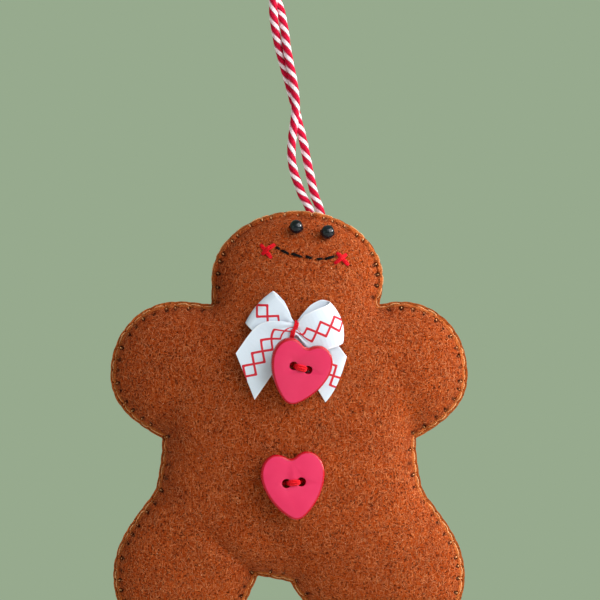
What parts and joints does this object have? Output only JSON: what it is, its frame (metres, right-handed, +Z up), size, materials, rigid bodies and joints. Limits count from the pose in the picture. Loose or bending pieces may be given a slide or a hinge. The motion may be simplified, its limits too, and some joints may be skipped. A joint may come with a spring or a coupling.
{
  "type": "felt christmas ornament",
  "caption": "Stuffed felt gingerbread-man hanging ornament with ribbon bow, heart buttons, bead eyes and stitched face on a twisted twine loop.",
  "frame": {"origin": "inner top of the twine loop, where a hook bears", "axes": "+Z up along the hanging figure, -Y out of the figure's face, +X to the right as seen from the front"},
  "size_m": [0.0858, 0.0312, 0.1738],
  "materials": {
    "felt": "matte",
    "stuffing": "matte",
    "brown_thread": "matte",
    "black_thread": "matte",
    "red_thread": "satin",
    "bead": "gloss",
    "ribbon": "satin",
    "button": "gloss",
    "twine": "matte"
  },
  "bodies": {
    "twine": {"twine_loop": "twine"},
    "figure": {"front_felt": "felt", "back_felt": "felt", "stuffing_torso": "stuffing", "stuffing_head": "stuffing", "stuffing_arm_left": "stuffing", "stuffing_arm_right": "stuffing", "stuffing_leg_left": "stuffing", "stuffing_leg_right": "stuffing", "seam_thread": "brown_thread", "eye_bead_left": "bead", "eye_bead_right": "bead", "eye_thread_left": "black_thread", "eye_thread_right": "black_thread", "mouth_thread": "black_thread", "cheek_cross_left": "red_thread", "cheek_cross_right": "red_thread", "bow_ribbon": "ribbon", "bow_wrap": "red_thread", "bow_button_thread": "red_thread", "belly_button_thread": "red_thread", "twine_end_left": "twine", "twine_end_right": "twine"},
    "bow_button": {"bow_button": "button"},
    "belly_button": {"belly_button": "button"}
  },
  "joints": [
    {"name": "figure_swing", "type": "hinge", "parent": "twine", "child": "figure", "pos_m": [0.01134, 0, -0.0654], "axis": [1, 0, 0], "range_deg": [-75, 75]},
    {"name": "bow_button_turn", "type": "hinge", "parent": "figure", "child": "bow_button", "pos_m": [0.00757, -0.01497, -0.10379], "axis": [0.1341, -0.979, -0.1534], "range_deg": [-10, 10]},
    {"name": "belly_button_turn", "type": "hinge", "parent": "figure", "child": "belly_button", "pos_m": [0.00593, -0.01274, -0.13151], "axis": [0.1207, -0.9927, -0.0059], "range_deg": [-10, 10]}
  ]
}
